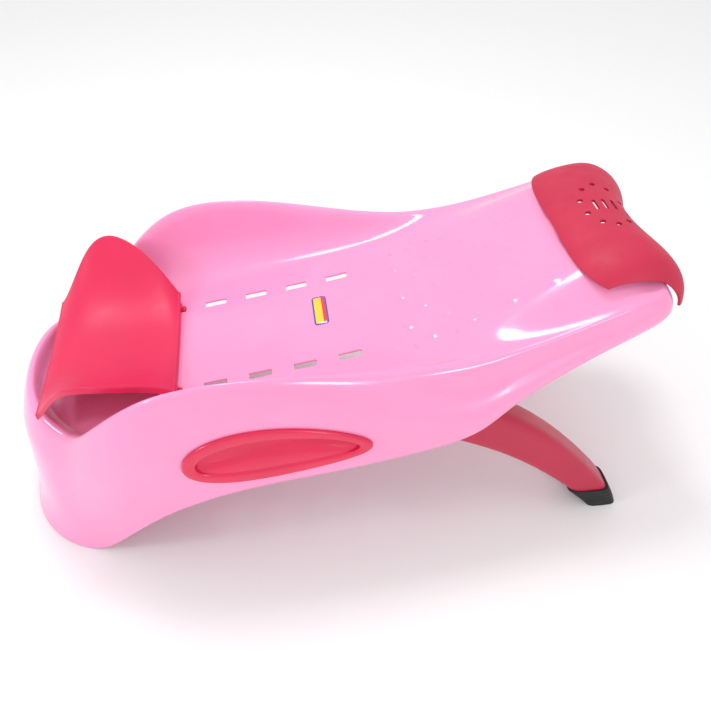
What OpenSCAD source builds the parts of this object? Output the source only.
// Child's hair-washing recliner: a moulded seat shell with a head rest, a calf-rest flap,
// two carrying handles and a pair of fold-away rear legs.
// Frame: +X towards the head end, +Z up, floor at z = 0, the middle of the width at y = 0.

/* [Overall size] */
// Length of the seat shell, foot end to head end
shell_len = 884; // [740:1:1060]
// Width of the seat shell across its side skirts
shell_w = 432; // [360:1:518]
// Height of the shell at its highest line, the top of the neck
shell_h = 394; // [330:1:470]

/* [Shell] */
// Thickness of the moulded wall
wall = 3; // [2:0.1:4]
// Radius of the rubber pads under the foot end
pad_r = 9; // [7:0.5:11]
// Thickness of a rubber pad below its socket
pad_t = 3; // [2.5:0.1:5]

/* [Seat slots] */
// Pairs of slots along the seat
slot_pairs = 5; // [3:1:5]
// Distance from one slot to the next, along the seat
slot_pitch = 62; // [54:1:66]
// Length of a slot
slot_len = 32; // [26:1:36]
// Width of a slot
slot_w = 12; // [10:0.5:16]
// Distance between the two rows of slots
slot_rows = 174; // [150:1:190]

/* [Calf-rest flap] */
// Thickness of the flap
flap_wall = 3; // [2:0.1:4]
// Depth of the turned-down edge round the flap
flap_hem = 9; // [6:0.5:12]
// Radius of the hinge barrels that rest in the slots
barrel_r = 2.6; // [2:0.1:3]
// Width of each hinge barrel
barrel_w = 9; // [7:0.5:9.5]

/* [Head rest] */
// Thickness of the head rest
rest_wall = 4; // [3:0.1:5]
// Radius of the head rest's drain holes
drain_r = 4; // [3:0.1:5]

/* [Handles] */
// Length of the oval handle rim
handle_len = 239; // [200:1:244]
// Height of the oval handle rim
handle_h = 86; // [72:1:90]
// Width of the rim round the finger pocket
handle_rim = 18; // [14:0.5:20]
// Depth of the finger pocket behind the skirt
pocket_depth = 15; // [10:0.5:16]
// How far the handle rim stands proud of the skirt
rim_proud = 5; // [3:0.5:7]

/* [Legs] */
// Width of a leg at the top, across the seat
leg_w_top = 52; // [44:1:56]
// Width of a leg at the foot
leg_w_foot = 42; // [34:1:46]
// Thickness of the leg's moulded wall
leg_wall = 3.5; // [2.5:0.1:4]
// Height that the rubber foot covers, from the floor
foot_cover = 38; // [30:1:46]
// Thickness of the rubber foot
foot_rubber = 3; // [2:0.1:4]

/* [Hinge of the legs] */
// Radius of the steel pivot rod
rod_r = 5; // [4:0.1:6]
// Radial running clearance of the rod in its bores
rod_gap = 0.08; // [0.03:0.01:0.1]
// Thickness of the hinge brackets
bracket_t = 6; // [4:0.5:8]
// Radius of the screw shanks
screw_r = 2; // [1.5:0.1:2.5]

/* [Badge] */
// Length of the plain badge, across the seat
badge_len = 62; // [40:1:70]
// Width of the plain badge
badge_w = 21; // [15:1:24]
// Thickness of the plain badge
badge_t = 0.6; // [0.4:0.1:1]

/* [Hidden] */

// Every line of the shell is drawn at these sizes, then stretched to the sizes asked for.
drawn_len = 884;
drawn_w = 432;
drawn_h = 394;
kx = shell_len / drawn_len;
ky = shell_w / drawn_w;
kz = shell_h / drawn_h;
drawn_middle = -6.65; // middle of the whole length as drawn, where the origin stands
function at_x(x) = (x - drawn_middle) * kx;
function sized(p) = [at_x(p.x), p.y * ky, p.z * kz];

clear = 0.3; // gap between parts that move past each other
eps = 0.01;

// ---- Smooth lines and surfaces ----

// Weights of the four nearest control points, f of the way along a span (cubic B-spline)
function weights(f) = [pow(1 - f, 3), 3 * f * f * f - 6 * f * f + 4,
  -3 * f * f * f + 3 * f * f + 3 * f + 1, f * f * f] / 6;
// Point t spans along a line of control points c that already has its two end points added
function along(c, t) = let(i = min(floor(t), len(c) - 4), w = weights(t - i))
  w[0] * c[i] + w[1] * c[i + 1] + w[2] * c[i + 2] + w[3] * c[i + 3];
function past_end(c) = 2 * c[len(c) - 1] - c[len(c) - 2];
function past_start(c) = 2 * c[0] - c[1];
function flip(p) = [p.x, -p.y, p.z];
function column(m, j) = [for (row = m) row[j]];
function mix(a, b, t) = a * (1 - t) + b * t;
function unit(v) = v / max(norm(v), 1e-9);

// A grid of surface points from a cage (rows of control points, end points added both ways)
function surface_grid(cage, us, vs) = [for (u = us)
  let(line = [for (j = [0:len(cage[0]) - 1]) along(column(cage, j), u)])
  [for (v = vs) along(line, v)]];

// Normals of a grid by the differences of neighbouring points
function grid_normals(g) = let(n = len(g) - 1, m = len(g[0]) - 1)
  [for (i = [0:n]) [for (j = [0:m])
    let(a = g[min(i + 1, n)][j] - g[max(i - 1, 0)][j], b = g[i][min(j + 1, m)] - g[i][max(j - 1, 0)])
    unit(cross(a, b))]];

// Closed solid between two grids of the same size, outer grid first.
// Triangles turn so that the outer grid faces the way of its normals.
module between(outer, inner) {
  n = len(outer);
  m = len(outer[0]);
  k = n * m;
  function at(i, j) = i * m + j;
  skin = [for (i = [0:n - 2], j = [0:m - 2])
    each [[at(i, j), at(i, j + 1), at(i + 1, j + 1)], [at(i, j), at(i + 1, j + 1), at(i + 1, j)]]];
  lining = [for (f = skin) [f[0] + k, f[2] + k, f[1] + k]];
  rim = concat([for (j = [0:m - 1]) at(0, j)], [for (i = [1:n - 1]) at(i, m - 1)],
    [for (j = [m - 2:-1:0]) at(n - 1, j)], [for (i = [n - 2:-1:1]) at(i, 0)]);
  last = len(rim) - 1;
  edge = [for (i = [0:last]) let(a = rim[i], b = rim[i < last ? i + 1 : 0])
    each [[a, b + k, b], [a, a + k, b + k]]];
  polyhedron(concat([for (r = outer) each r], [for (r = inner) each r]), concat(skin, lining, edge));
}

// ---- Lines of the seat shell, drawn on the side y > 0 ----

// Height of the seat's middle line
seat_line = [[-420, 183.5], [-167, 225], [17, 255], [76, 270], [102, 277], [128, 286], [152, 296],
  [176, 308], [203, 323], [226, 336], [249, 349], [275, 363], [300, 377], [330, 393]];

// Spokes run from the middle line out to the bottom edge, round from the foot end to the head end.
// Each: x on the middle line, edge of the flat floor [x, y], rim crest, shoulder line,
// flare line, bottom edge, and how deep the flute under the crest is.
spokes = [
  [-360, [-398, 0], [-420, 0, 214], [-448, 0, 160], [-456, 0, 45], [-470, 0, 1.5], 0],
  [-358, [-395, 34], [-416, 42, 214], [-444, 50, 160], [-452, 54, 45], [-466, 57, 1.5], 0],
  [-350, [-385, 66], [-405, 80, 212], [-430, 95, 156], [-438, 103, 44], [-450, 108, 1.5], 0],
  [-335, [-365, 92], [-380, 112, 204], [-403, 130, 142], [-410, 142, 42], [-419, 148, 1.5], 0],
  [-312, [-334, 106], [-350, 136, 192], [-376, 149, 118], [-380, 163, 42], [-385, 170, 1.5], 0],
  [-282, [-292, 114], [-318, 162, 236], [-344, 173, 152], [-348, 176, 44], [-350, 179, 1.5], 0],
  [-245, [-249, 118], [-280, 181, 280], [-298, 200, 202], [-303, 196, 90], [-306, 195, 52], 0],
  [-200, [-202, 122], [-230, 195, 320], [-243, 214, 248], [-245, 213, 150], [-246, 212, 115], 0],
  [-150, [-150, 124], [-165, 197, 332], [-172, 216, 268], [-172, 216, 188], [-172, 216, 148], 0],
  [-95, [-95, 123], [-100, 194, 330], [-102, 216, 276], [-102, 216, 203], [-102, 216, 163], 0],
  [-35, [-35, 120], [-37, 187, 322], [-38, 216, 267], [-38, 216, 210], [-38, 216, 171], 0],
  [25, [25, 117], [25, 180, 311], [25, 216, 254], [25, 216, 214], [25, 216, 181], 0],
  [80, [80, 114], [80, 173, 305], [80, 215, 245], [80, 216, 217], [80, 215, 191], 5],
  [130, [130, 112], [130, 170, 302], [130, 213, 237], [130, 214, 220], [130, 213, 201], 10],
  [175, [175, 112], [177, 169, 306], [176, 209, 236], [176, 209, 226], [175, 208, 214], 12],
  [212, [215, 112], [218, 168, 314], [216, 194, 262], [217, 194, 254], [216, 193, 245], 11],
  [240, [252, 110], [262, 167, 326], [262, 185, 285], [264, 185, 278], [264, 184, 270], 9],
  [262, [285, 108], [302, 165, 339], [304, 178, 305], [306, 178, 299], [306, 177, 292], 7],
  [272, [312, 104], [340, 162, 353], [344, 173, 323], [346, 173, 317], [346, 171, 310], 4],
  [280, [332, 102], [372, 158, 363], [382, 167, 337], [384, 167, 331], [384, 165, 325], 2],
  [287, [342, 100], [398, 147, 368], [420, 154, 346], [422, 154, 341], [421, 152, 335], 0],
  [293, [344, 96], [402, 126, 372], [424, 124, 352], [424, 123, 347], [422, 122, 342], 0],
  [298, [338, 88], [382, 106, 382], [394, 95, 368], [394, 93, 363], [392, 92, 359], 0],
  [302, [328, 70], [350, 86, 388], [356, 76, 378], [356, 74, 373], [355, 73, 369], 0],
  [305, [321, 40], [332, 50, 386], [338, 44, 378], [338, 43, 373], [337, 42, 369], 0],
  [307, [317, 0], [324, 0, 382], [331, 0, 374], [331, 0, 369], [330, 0, 365], 0]];

// Control points of one spoke, from the middle line to the bottom edge
function spoke_points(s) = let(
    mid = [s[0], 0, lookup(s[0], seat_line)],
    flat = [s[1].x, s[1].y, lookup(s[1].x, seat_line)],
    crest = s[2], shoulder = s[3], flare = s[4], edge = s[5],
    press = [0, -0.5, -1] * s[6],
    up = crest.z > flat.z,
    lift = crest.z - flat.z,
    fillet = mix(flat, crest, up ? 0.62 : 0.42),
    inside = mix(flat, crest, up ? 0.86 : 0.75),
    lip_in = mix(flat, crest, 0.97), lip_out = mix(crest, shoulder, 0.3),
    fall = crest.z - shoulder.z)
  [mid, mix(mid, flat, 0.5), flat,
    [fillet.x, fillet.y, flat.z + lift * (up ? 0.10 : 0.50)],
    [inside.x, inside.y, flat.z + lift * (up ? 0.62 : 0.84)],
    [lip_in.x, lip_in.y, crest.z + 3], [lip_out.x, lip_out.y, crest.z + 3],
    [mix(crest.x, shoulder.x, 0.62), mix(crest.y, shoulder.y, 0.62), crest.z - 0.28 * fall] + 1.3 * press,
    [mix(crest.x, shoulder.x, 0.92), mix(crest.y, shoulder.y, 0.92), crest.z - 0.74 * fall] + 0.4 * press,
    shoulder, mix(shoulder, flare, 0.3), mix(shoulder, flare, 0.65), flare, mix(flare, edge, 0.6), edge];

half_cage = [for (s = spokes) [for (p = spoke_points(s)) sized(p)]];
last_spoke = len(half_cage) - 1;
spokes_ended = concat([[for (p = half_cage[1]) flip(p)]], half_cage,
  [[for (p = half_cage[last_spoke - 1]) flip(p)]]);
shell_cage = [for (s = spokes_ended) concat([flip(s[1])], s, [past_end(s)])];
spoke_steps = [for (i = [0:2 * last_spoke]) i / 2];
row_steps = concat([0, 1, 2], [for (i = [5:2 * (len(half_cage[0]) - 1)]) i / 2]);

function on_middle(g) = let(n = len(g) - 1) [for (i = [0:n]) [for (j = [0:len(g[0]) - 1])
  let(p = g[i][j]) (i == 0 || i == n || j == 0) ? [p.x, 0, p.z] : p]];
shell_skin = on_middle(surface_grid(shell_cage, spoke_steps, row_steps));
shell_lining = let(nn = grid_normals(shell_skin), m = len(shell_skin[0]) - 1)
  on_middle([for (i = [0:len(shell_skin) - 1]) [for (j = [0:m])
    let(p = shell_skin[i][j], n = nn[i][j], flat_n = unit([n.x, n.y, 0]))
    j == m ? p - flat_n * wall : p - n * wall]]);

// Height of the finished seat along its middle line
function seat_z(x) = lookup(x, [for (r = shell_skin) [r[0].x, r[0].z]]);

// The whole shell: both halves in one closed skin and lining
module shell_body() {
  n = len(shell_skin);
  m = len(shell_skin[0]);
  k = n * m;
  function at(i, j) = i * m + j;
  // the last spoke's quads are cut the other way, so that no triangle lies flat on y = 0
  quads = [for (i = [0:n - 2], j = [0:m - 2])
    let(q = [at(i, j), at(i + 1, j), at(i + 1, j + 1), at(i, j + 1)])
    i < n - 2 ? q : [q[1], q[2], q[3], q[0]]];
  skin = [for (q = quads) each [[q[0], q[1], q[2]], [q[0], q[2], q[3]]]];
  lining = [for (f = skin) [f[0] + k, f[2] + k, f[1] + k]];
  rim = [for (i = [0:n - 2]) each [[at(i, m - 1), at(i + 1, m - 1), at(i + 1, m - 1) + k],
    [at(i, m - 1), at(i + 1, m - 1) + k, at(i, m - 1) + k]]];
  other_half = concat(skin, lining, rim);
  this_half = [for (f = other_half) [f[0], f[2], f[1]]];
  far_faces = [for (f = other_half) [f[0] + 2 * k, f[1] + 2 * k, f[2] + 2 * k]];
  points = concat([for (r = shell_skin) each r], [for (r = shell_lining) each r]);
  polyhedron(concat(points, [for (p = points) flip(p)]), concat(this_half, far_faces));
}

// ---- Seat slots ----

slot_round = 3; // rounding at the head end of a slot
slope = atan2(seat_z(at_x(17)) - seat_z(at_x(-167)), at_x(17) - at_x(-167));
slot_first = at_x(17); // the slot nearest the head
slot_at = [for (i = [0:slot_pairs - 1]) slot_first - i * slot_pitch * cos(slope)];
hinge_slot = slot_at[slot_pairs - 1];

// One slot seen from above, square at the foot end and rounded at the head end
module slot_outline() {
  translate([-slot_len / 2, -slot_w / 2]) square([slot_len - slot_round, slot_w]);
  translate([0, -slot_w / 2 + slot_round]) square([slot_len / 2, slot_w - 2 * slot_round]);
  for (side = [-1, 1]) translate([slot_len / 2 - slot_round, side * (slot_w / 2 - slot_round)])
    circle(r = slot_round, $fn = 32);
}

module slots() {
  for (x = slot_at, side = [-1, 1])
    translate([x, side * slot_rows / 2, seat_z(x)]) rotate([0, -slope, 0])
      translate([0, 0, -3 * wall]) linear_extrude(6 * wall) slot_outline();
}

// ---- Handles: an oval rim outside the skirt, a finger pocket behind it ----

skirt_y = 216 * ky; // outer face of the skirt where the handles sit
handle_x = at_x(-90.5);
handle_z = 223.5 * kz;
// Egg-shaped oval, fuller at the foot end, drawn [x, z]; inset by a margin all round
function oval(margin, steps = 64) = [for (i = [0:steps - 1]) let(a = 360 * i / steps, c = cos(a))
  [handle_x + (handle_len / 2 - margin) * c,
    handle_z + 5.5 * c - 8 * c * c + (handle_h / 2 - margin) * sin(a) * (1 - 0.28 * c)]];
module oval_plate(margin, from_y, to_y) {
  translate([0, to_y, 0]) rotate([90, 0, 0]) linear_extrude(to_y - from_y) polygon(oval(margin));
}
sleeve_t = 2.5; // wall of the finger pocket
rim_overlap = 6; // how far the rim covers the skirt round its opening

module handle_opening() {
  oval_plate(rim_overlap, skirt_y - 12, skirt_y + 12);
}

sleeve_out = rim_overlap + 0.5; // margin of the pocket's outer wall
module handle() {
  difference() {
    union() {
      oval_plate(0, skirt_y + clear, skirt_y + rim_proud - 2);
      oval_plate(2, skirt_y + rim_proud - 2 - eps, skirt_y + rim_proud);
      oval_plate(sleeve_out, skirt_y - pocket_depth, skirt_y + rim_proud - 1);
    }
    oval_plate(handle_rim, skirt_y - pocket_depth + sleeve_t, skirt_y + rim_proud + 1);
  }
}
module handle_near() { color([0.92, 0.13, 0.32]) mirror([0, 1, 0]) handle(); }
module handle_far() { color([0.92, 0.13, 0.32]) handle(); }

// Push-on rings behind the skirt that keep the handles in
clip_t = 2.5;
module handle_clips() {
  color([0.85, 0.5, 0.66]) for (side = [0, 1]) mirror([0, side, 0]) difference() {
    oval_plate(rim_overlap - 3, skirt_y - wall - clip_t - 3, skirt_y - wall - 3);
    oval_plate(sleeve_out - 0.2, skirt_y - wall - clip_t - 4, skirt_y);
  }
}

// ---- Sockets of the base pads, against the inside of the wall ----

flare_row = 22; // place of the flare line among row_steps
socket_r = 4;
boss_wall = 3;
boss_r = pad_r + 1;
pad_spokes = [3, 9]; // places among spoke_steps
function pad_place(i) = let(p = shell_skin[i][flare_row],
    n = grid_normals(shell_skin)[i][flare_row], out = unit([n.x, n.y, 0]))
  p - out * (boss_r + wall * 0.6);
pad_places = [for (i = pad_spokes) pad_place(i)];

module pad_bosses() {
  for (p = pad_places, side = [-1, 1]) translate([p.x, side * p.y, pad_t + clear])
    cylinder(h = p.z - pad_t, r = boss_r, $fn = 48);
}
module pad_sockets() {
  for (p = pad_places, side = [-1, 1]) translate([p.x, side * p.y, pad_t - 1])
    cylinder(h = 16, r = socket_r, $fn = 48);
}
module base_pads() {
  color([0.08, 0.08, 0.09]) for (p = pad_places, side = [-1, 1]) translate([p.x, side * p.y, 0]) {
    cylinder(h = pad_t, r = pad_r, $fn = 48);
    cylinder(h = pad_t + 11, r = socket_r - 0.1, $fn = 48);
  }
}

// ---- Leg hinge: brackets under the seat, a rod through brackets and legs ----

pivot_x = at_x(132);
pivot_z = 222 * kz;
leg_out = 193 * ky; // outer face of the legs
leg_in = leg_out - leg_w_top;
ear_out = leg_in - 2; // outer face of a bracket's ear
flange_z = pivot_z + 30;
flange_t = 4;
flange_in = ear_out - 46;
flange_x0 = pivot_x - 36;
flange_len = 74;
boss_y = ear_out - 34;
boss_xs = [flange_x0 + 10, flange_x0 + flange_len - 10];
screw_boss_r = 6;

module screw_bosses() {
  for (x = boss_xs, side = [-1, 1]) translate([x, side * boss_y, flange_z + flange_t])
    cylinder(h = seat_z(x) - wall / 2 - flange_z - flange_t, r = screw_boss_r, $fn = 40);
}
module screw_pilots() {
  for (x = boss_xs, side = [-1, 1]) translate([x, side * boss_y, flange_z + flange_t - 1])
    cylinder(h = 11, r = screw_r - 0.3, $fn = 32);
}

module seat_shell() {
  color([1, 0.65, 0.8]) difference() {
    union() {
      shell_body();
      screw_bosses();
      pad_bosses();
    }
    slots();
    for (side = [0, 1]) mirror([0, side, 0]) handle_opening();
    screw_pilots();
    pad_sockets();
    at_pegs(-3 * wall, 3 * wall, peg_r + clear);
  }
}

// ---- Head rest: a soft cap that wraps over the end of the neck ----

// Cross-stations from the middle out to the end, each [y, points [x, z] from the front hem
// over the top and down to the back hem]
rest_lines = [
  [0, [[303, 382], [313, 392], [345, 404], [376, 405], [400, 394], [414, 368], [416, 346]]],
  [45, [[303, 381], [313, 392], [346, 404], [378, 407], [405, 394], [422, 367], [424, 344]]],
  [84, [[304, 380], [315, 391], [350, 403], [386, 408], [420, 391], [440, 361], [442, 340]]],
  [111, [[309, 379], [320, 388], [354, 400], [391, 406], [424, 387], [443, 360], [444, 340]]],
  [129, [[319, 377], [330, 384], [361, 393], [394, 396], [421, 379], [436, 356], [438, 338]]],
  [137, [[331, 373], [341, 378], [366, 382], [394, 382], [414, 369], [428, 351], [430, 338]]]];
rest_rows = [for (l = rest_lines) [for (p = l[1]) sized([p.x, l[0], p.y])]];
rest_cage = let(c = concat([[for (p = rest_rows[1]) flip(p)]], rest_rows,
    [[for (j = [0:6]) past_end(column(rest_rows, j))]]))
  [for (r = c) concat([past_start(r)], r, [past_end(r)])];
rest_half = surface_grid(rest_cage, [for (i = [0:10]) i / 2], [for (i = [0:15]) i * 0.4]);
// Both halves of a grid that starts on the middle line
function both_sides(g) = concat([for (i = [len(g) - 1:-1:1]) [for (p = g[i]) flip(p)]],
  [[for (p = g[0]) [p.x, 0, p.z]]], [for (i = [1:len(g) - 1]) g[i]]);
rest_top = both_sides(rest_half);
rest_under = let(n = grid_normals(rest_top)) [for (i = [0:len(rest_top) - 1])
  [for (j = [0:len(rest_top[0]) - 1]) rest_top[i][j] - n[i][j] * rest_wall]];

// Drain holes: a ring of round holes round three short slots
drain_x = at_x(371);
drain_ring = 38;
drain_count = 10;
module drain_holes() {
  translate([drain_x, 0, 0]) {
    for (i = [0:drain_count - 1]) let(a = 360 * (i + 0.5) / drain_count)
      translate([drain_ring * cos(a) * 0.8, drain_ring * sin(a) * 1.3, 280 * kz])
        cylinder(h = 200 * kz, r = drain_r, $fn = 32);
    for (dx = [-13, 0, 13]) translate([dx, 0, 280 * kz]) {
      translate([-drain_r * 0.6, -12, 0]) cube([drain_r * 1.2, 24, 200 * kz]);
    }
  }
}
// Pegs under the head rest pass through the neck and take push-on rings below it.
// They stand square to the shell at these places of its grid: [spoke, row, reach above the shell].
peg_r = 3;
peg_spots = [[37, 3, 10], [43, 3, 13.5]];
shell_normals = grid_normals(shell_skin);
module at_pegs(low, high, r) {
  for (side = [0, 1], s = peg_spots) mirror([0, side, 0])
    let(p = shell_skin[s.x][s.y], n = shell_normals[s.x][s.y]) translate(p) rotate([0, acos(n.z), atan2(n.y, n.x)])
      translate([0, 0, low]) cylinder(h = min(high, s.z) - low, r = r, $fn = 32);
}
module head_rest() {
  color([0.8, 0.14, 0.29]) union() {
    difference() {
      between(rest_top, rest_under);
      drain_holes();
    }
    at_pegs(-wall - 7, 20, peg_r);
  }
}
module rest_retainers() {
  color([0.85, 0.85, 0.87]) difference() {
    at_pegs(-wall - 4.2, -wall - 2.2, peg_r + 4);
    at_pegs(-wall - 6, -wall, peg_r + 0.02);
  }
}

// ---- Calf-rest flap: a saddle-shaped shell with a turned-down edge and two hinge lugs ----

// Sections from the hinge edge to the far edge: [x, middle height, half width, rise at the wings]
flap_sections = [[-221.5, 227, 105, 10], [-231, 229, 112, 22], [-255, 228, 134, 51], [-284, 226, 153, 75],
  [-315, 226, 163, 88], [-343, 229, 154, 76], [-366, 232, 134, 40], [-385, 230, 120, 10], [-395, 223, 115, 5]];
// How the rise grows across a section, at these shares of the half width
flap_across = [[0, 0], [0.32, 0.03], [0.6, 0.24], [0.82, 0.62], [1, 1]];
flap_turn = 6; // how far the edge leans out as it turns down
flap_rows = [for (a = flap_across) [for (f = flap_sections)
  sized([f.x, f[2] * a.x, f.y + f[3] * a.y])]];
flap_cage = let(last = flap_rows[len(flap_across) - 1],
    c = concat([[for (p = flap_rows[1]) flip(p)]], flap_rows, [2 * last - flap_rows[len(flap_across) - 2]]))
  [for (r = c) concat([past_start(r)], r, [past_end(r)])];
flap_half = surface_grid(flap_cage, [for (i = [0:8]) i / 2], [for (i = [0:2 * len(flap_sections) - 2]) i / 2]);
flap_sheet = both_sides(flap_half);
// The sheet with its turned-down edge: one more ring of points all round
function hemmed(g, lean, drop) = let(n = len(g) - 1, m = len(g[0]) - 1)
  [for (i = [-1:n + 1]) [for (j = [-1:m + 1])
    let(a = max(0, min(i, n)), b = max(0, min(j, m)),
      edge = i < 0 || i > n || j < 0 || j > m,
      away = [j < 0 ? 1 : j > m ? -1 : 0, i < 0 ? -1 : i > n ? 1 : 0, 0])
    edge ? g[a][b] + lean * unit(away) - [0, 0, drop] : g[a][b]]];
flap_top = hemmed(flap_sheet, 2.5, flap_hem);
flap_under = hemmed([for (r = flap_sheet) [for (p = r) p - [0, 0, flap_wall]]], -0.5, flap_hem - flap_wall);

hinge_x = hinge_slot + slot_len / 2 - barrel_r - 1;
hinge_z = seat_z(hinge_slot + slot_len / 2 - barrel_r - 1) + 0.5;
flap_edge_x = at_x(flap_sections[0].x);
module flap_lug() {
  translate([hinge_x, 0, hinge_z]) {
    rotate([90, 0, 0]) cylinder(h = barrel_w, r = barrel_r, center = true, $fn = 40);
    translate([flap_edge_x - hinge_x - 1, -barrel_w / 2, 0.2]) cube([hinge_x - flap_edge_x - 0.5, barrel_w, 3]);
    translate([flap_edge_x - hinge_x - 1, -barrel_w / 2, 0.2]) cube([5, barrel_w, 10]);
    translate([-1.8, -barrel_w / 2, -wall - 4.2]) cube([3.6, barrel_w, wall + 4.2]);
    translate([-1.8, -barrel_w / 2, -wall - 4.2]) cube([9, barrel_w, 2.4]);
  }
}
module calf_flap() {
  color([0.91, 0.17, 0.35]) union() {
    between(flap_top, flap_under);
    for (side = [-1, 1]) translate([0, side * slot_rows / 2, 0]) flap_lug();
  }
}

// ---- Rear legs: curved, hollow from below, with a barrel round the pivot rod ----

// Lower and upper line of a leg in the X-Z plane
leg_lower = [[94, 204], [112, 192], [140, 179], [186, 155], [226, 130], [272, 94], [314, 55], [347, 22],
  [366, 0], [380, -20]];
leg_upper = [[118, 256], [146, 253], [184, 232], [224, 208], [264, 178], [307, 137], [350, 88], [384, 44],
  [402, 12], [411, -18]];
// Outline of a section, [share of the depth from the lower line, share of the width]
leg_sides = 24;
function rounded(v) = sign(v) * pow(abs(v), 0.42);
leg_outline = [for (i = [0:leg_sides - 1]) let(a = 360 * (i + 0.5) / leg_sides)
  [0.5 + 0.5 * rounded(sin(a)), 0.5 * rounded(cos(a))]];
function line_at(c, t) = let(p = along(concat([past_start(c)], c, [past_end(c)]), t)) [at_x(p.x), p.y * kz];
last_leg = len(leg_lower) - 1;
// Section t spans down the leg, made larger all round by grow
function leg_section(t, grow) = let(
    low = line_at(leg_lower, t), high = line_at(leg_upper, t),
    up = unit(high - low), full_w = mix(leg_w_top, leg_w_foot, t / last_leg),
    from = low - up * grow, to = high + up * grow)
  [for (o = leg_outline) let(p = mix(from, to, o.x)) [p.x, leg_out - full_w / 2 + (full_w + 2 * grow) * o.y, p.y]];

// Closed solid through a list of sections with the same number of points
module loft(sections) {
  n = len(sections);
  m = len(sections[0]);
  sides = [for (i = [0:n - 2], j = [0:m - 1]) let(k = (j + 1) % m)
    each [[i * m + j, (i + 1) * m + j, (i + 1) * m + k], [i * m + j, (i + 1) * m + k, i * m + k]]];
  caps = [[for (j = [0:m - 1]) j], [for (j = [m - 1:-1:0]) (n - 1) * m + j]];
  polyhedron([for (s = sections) each s], concat(sides, caps));
}
leg_steps = [for (i = [0:2 * last_leg]) i / 2];
barrel_outer = 13;
module round_barrel(r, past) {
  translate([pivot_x, leg_out + past, pivot_z]) rotate([90, 0, 0])
    cylinder(h = leg_w_top + 2 * past, r = r, $fn = 48);
}
// The hollow under the leg, as wide as the foot end allows, with the barrel left across it
cavity_steps = [for (i = [2:12]) i / 2];
module leg_cavity() {
  under = [for (t = cavity_steps) let(low = line_at(leg_lower, t)) low - 20 * unit(line_at(leg_upper, t) - low)];
  roof = [for (t = cavity_steps) let(high = line_at(leg_upper, t))
    high - leg_wall * unit(high - line_at(leg_lower, t))];
  n = len(cavity_steps) - 1;
  difference() {
    translate([0, leg_out - leg_wall, 0]) rotate([90, 0, 0]) linear_extrude(leg_w_foot - 2 * leg_wall)
      polygon(concat(under, [for (i = [n:-1:0]) roof[i]]));
    round_barrel(barrel_outer, 1);
  }
}
// Everything lower than height z
module below(z) { translate([-1000, -1000, z - 1000]) cube([2000, 2000, 1000]); }
module leg() {
  difference() {
    loft([for (t = leg_steps) leg_section(t, 0)]);
    leg_cavity();
    round_barrel(rod_r + rod_gap, 1);
    brace_holes(screw_r + 0.05, leg_in - 1, leg_in + leg_wall + 1);
    below(foot_rubber + clear);
  }
}
module leg_near() { color([0.75, 0.12, 0.26]) mirror([0, 1, 0]) leg(); }
module leg_far() { color([0.75, 0.12, 0.26]) leg(); }

// ---- Rubber feet: a boot over the last stretch of each leg, flat on the floor ----

foot_steps = [for (i = [11:2 * last_leg]) i / 2];
module foot() {
  difference() {
    loft([for (t = foot_steps) leg_section(t, foot_rubber)]);
    difference() {
      loft([for (t = leg_steps) leg_section(t, clear)]);
      below(foot_rubber);
    }
    below(0);
    translate([0, 0, foot_cover]) cube(1000 * [1, 1, 1]);
  }
}
module foot_near() { color([0.07, 0.07, 0.08]) mirror([0, 1, 0]) foot(); }
module foot_far() { color([0.07, 0.07, 0.08]) foot(); }

// ---- Brace between the legs, screwed to their inner sides ----

brace_x = pivot_x + 46;
brace_z = pivot_z - 30;
brace_w = 26;
brace_h = 16;
brace_plate = 4;
brace_web = 4;
brace_room = 60; // left free of the flat web for a screwdriver
brace_end = leg_in - clear;
screw_head_r = 1.8 * screw_r;
module brace_holes(r, from_y, to_y) {
  for (side = [-1, 1], dx = [-brace_w / 2 + 6, brace_w / 2 - 6])
    translate([brace_x + dx, side * from_y, brace_z]) rotate([-90 * side, 0, 0])
      cylinder(h = to_y - from_y, r = r, $fn = 32);
}
module leg_brace() {
  color([0.7, 0.11, 0.24]) difference() {
    union() {
      for (side = [0, 1]) mirror([0, side, 0]) translate([brace_x - brace_w / 2, brace_end - brace_plate, brace_z - 11])
        cube([brace_w, brace_plate, 22]);
      // upright web from end to end, flat web between the ends of the screwdriver's room
      translate([brace_x - brace_web / 2, -brace_end + 1, brace_z - brace_h / 2])
        cube([brace_web, 2 * brace_end - 2, brace_h]);
      translate([brace_x - brace_w / 2, -brace_end + brace_room, brace_z - brace_web / 2])
        cube([brace_w, 2 * (brace_end - brace_room), brace_web]);
    }
    brace_holes(screw_r + 0.2, brace_end - brace_plate - 1, brace_end + 1);
  }
}
module brace_screws() {
  color([0.75, 0.75, 0.78]) union() {
    brace_holes(screw_r, brace_end - brace_plate - clear - 1, leg_in + leg_wall - 0.5);
    brace_holes(screw_head_r, brace_end - brace_plate - clear - 2, brace_end - brace_plate - clear);
  }
}

// ---- Pivot rod, its end caps and the spacers between brackets and legs ----

rod_end = leg_out + 8;
module across(r, from_y, to_y, fn = 48) {
  translate([pivot_x, to_y, pivot_z]) rotate([90, 0, 0]) cylinder(h = to_y - from_y, r = r, $fn = fn);
}
module pivot_rod() { color([0.75, 0.76, 0.78]) across(rod_r, -rod_end, rod_end); }
cap_t = 6;
module rod_caps() {
  color([0.12, 0.12, 0.13]) for (side = [0, 1]) mirror([0, side, 0]) difference() {
    across(rod_r + 4, leg_out + 1, rod_end + 2);
    across(rod_r + rod_gap / 2, leg_out, rod_end + 0.1);
  }
}
module spacer() {
  color([0.9, 0.9, 0.9]) difference() {
    across(rod_r + 5, ear_out + clear, leg_in - clear);
    across(rod_r + 0.2, ear_out, leg_in);
  }
}

// ---- Hinge brackets: an ear round the rod under a flange screwed up to the seat ----

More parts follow.
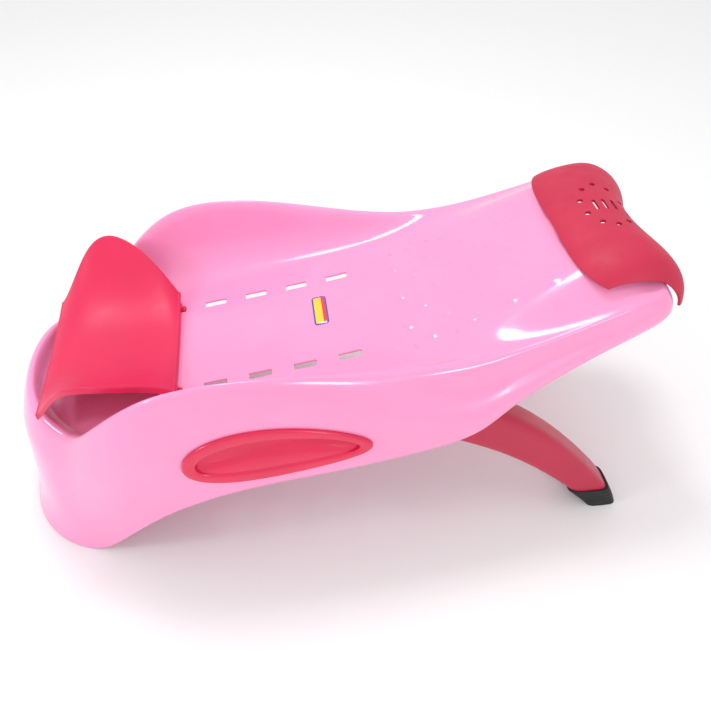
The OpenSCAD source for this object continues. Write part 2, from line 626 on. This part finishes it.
ear_r = 15;
module bracket() {
  color([0.95, 0.6, 0.76]) difference() {
    union() {
      translate([flange_x0, flange_in, flange_z]) cube([flange_len, ear_out - flange_in, flange_t]);
      translate([pivot_x - ear_r, ear_out - bracket_t, pivot_z]) cube([2 * ear_r, bracket_t, flange_z - pivot_z + 1]);
      across(ear_r, ear_out - bracket_t, ear_out);
      // gusset between ear and flange, and the stop that the leg comes up against
      translate([pivot_x - 3, ear_out - bracket_t - 22, flange_z - 14]) cube([6, 23, 15]);
      translate([pivot_x + 24, ear_out - bracket_t, flange_z - 2]) cube([14, leg_w_top * 0.6, 3]);
    }
    across(rod_r + rod_gap, ear_out - bracket_t - 1, ear_out + 1);
    for (x = boss_xs) translate([x, boss_y, flange_z - 1]) cylinder(h = flange_t + 2, r = screw_r + 0.2, $fn = 32);
  }
}
module bracket_screws() {
  color([0.75, 0.75, 0.78]) for (x = boss_xs, side = [-1, 1]) translate([x, side * boss_y, flange_z]) {
    translate([0, 0, -2.2]) cylinder(h = 2, r = screw_head_r, $fn = 32);
    translate([0, 0, -1]) cylinder(h = flange_t + 9, r = screw_r - 0.4, $fn = 32);
  }
}

// ---- Badge: a plain raised plate on the seat ----

badge_x = at_x(-14);
badge_y = 18 * ky;
badge_round = 5;
module badge() {
  color([0.98, 0.85, 0.2]) translate([badge_x, badge_y, seat_z(badge_x)]) rotate([0, -slope, 0])
    translate([0, 0, clear]) linear_extrude(badge_t) {
      square([badge_w, badge_len - 2 * badge_round], center = true);
      square([badge_w - 2 * badge_round, badge_len], center = true);
      for (sx = [-1, 1], sy = [-1, 1])
        translate([sx * (badge_w / 2 - badge_round), sy * (badge_len / 2 - badge_round)])
          circle(r = badge_round, $fn = 40);
    }
}

seat_shell();
head_rest();
rest_retainers();
calf_flap();
handle_near();
handle_far();
handle_clips();
leg_near();
leg_far();
leg_brace();
brace_screws();
foot_near();
foot_far();
pivot_rod();
rod_caps();
mirror([0, 1, 0]) bracket();  // bracket_near
bracket();  // bracket_far
bracket_screws();
mirror([0, 1, 0]) spacer();  // spacer_near
spacer();  // spacer_far
base_pads();
badge();
